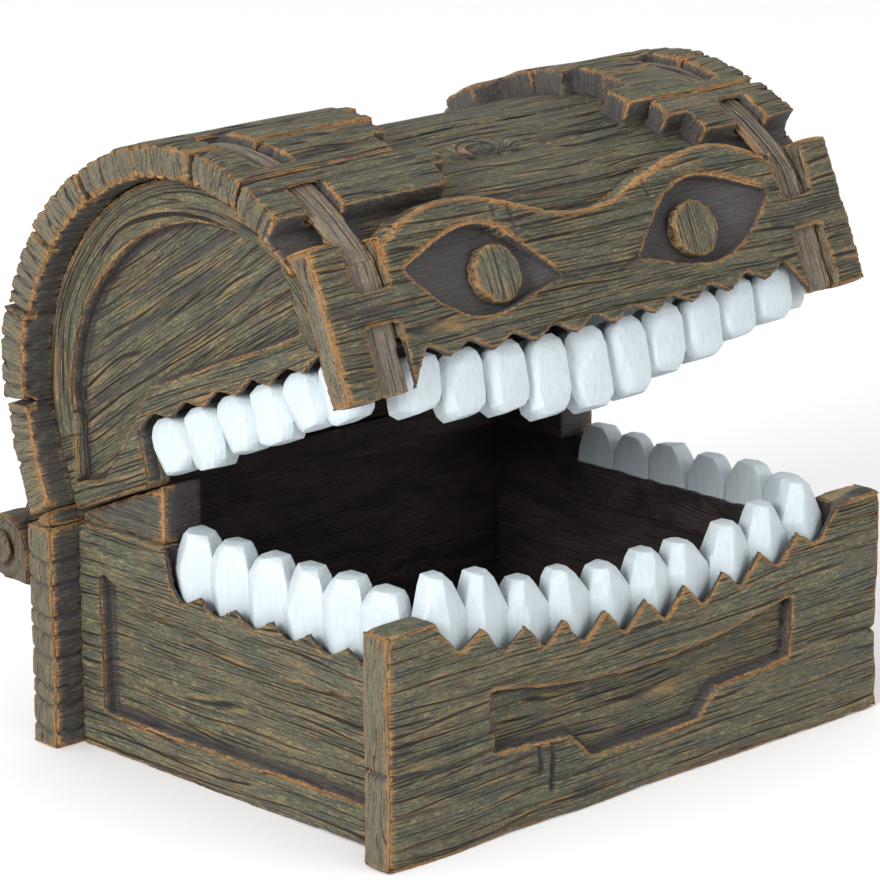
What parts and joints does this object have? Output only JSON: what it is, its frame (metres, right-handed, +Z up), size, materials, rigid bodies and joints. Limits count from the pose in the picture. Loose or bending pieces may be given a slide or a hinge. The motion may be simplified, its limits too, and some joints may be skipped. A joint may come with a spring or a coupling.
{
  "type": "toothed treasure chest",
  "caption": "Wooden treasure chest shaped like an open mouth: arched plank lid with carved eyes, hinged at the back, and white teeth along the rims of lid and box.",
  "frame": {"origin": "middle of the box's underside", "axes": "+X to the chest's right along its width, front towards -Y, +Z up"},
  "size_m": [0.167, 0.143, 0.154],
  "materials": {
    "weathered_wood": "matt",
    "strap_wood": "matt",
    "hinge_wood": "matt",
    "gum": "matt",
    "teeth": "satin"
  },
  "bodies": {
    "base": {"base_back_board": "weathered_wood", "base_floor": "weathered_wood", "base_front_board": "weathered_wood", "base_left_end": "weathered_wood", "base_right_end": "weathered_wood", "left_cheek": "weathered_wood", "left_hinge_base_leaf": "hinge_wood", "left_hinge_pin": "hinge_wood", "lower_front_gum": "gum", "lower_front_teeth": "teeth", "lower_left_gum": "gum", "lower_left_teeth": "teeth", "lower_right_gum": "gum", "lower_right_teeth": "teeth", "rear_sill": "weathered_wood", "right_cheek": "weathered_wood", "right_hinge_base_leaf": "hinge_wood", "right_hinge_pin": "hinge_wood"},
    "lid": {"left_eye_disc": "weathered_wood", "left_hinge_lid_leaf": "hinge_wood", "left_strap": "strap_wood", "lid_brow_backing": "weathered_wood", "lid_front_board": "weathered_wood", "lid_left_end": "weathered_wood", "lid_right_end": "weathered_wood", "lid_stave_1": "weathered_wood", "lid_stave_2": "weathered_wood", "lid_stave_3": "weathered_wood", "lid_stave_4": "weathered_wood", "lid_stave_5": "weathered_wood", "lid_stave_6": "weathered_wood", "lid_stave_7": "weathered_wood", "lid_stave_8": "weathered_wood", "right_eye_disc": "weathered_wood", "right_hinge_lid_leaf": "hinge_wood", "right_strap": "strap_wood", "upper_front_gum": "gum", "upper_front_teeth": "teeth", "upper_left_gum": "gum", "upper_left_teeth": "teeth", "upper_right_gum": "gum", "upper_right_teeth": "teeth"}
  },
  "joints": [
    {"name": "lid_hinge", "type": "hinge", "parent": "base", "child": "lid", "pos_m": [0, 0.07175, 0.047], "axis": [-1, 0, 0], "range_deg": [0, 75]}
  ]
}
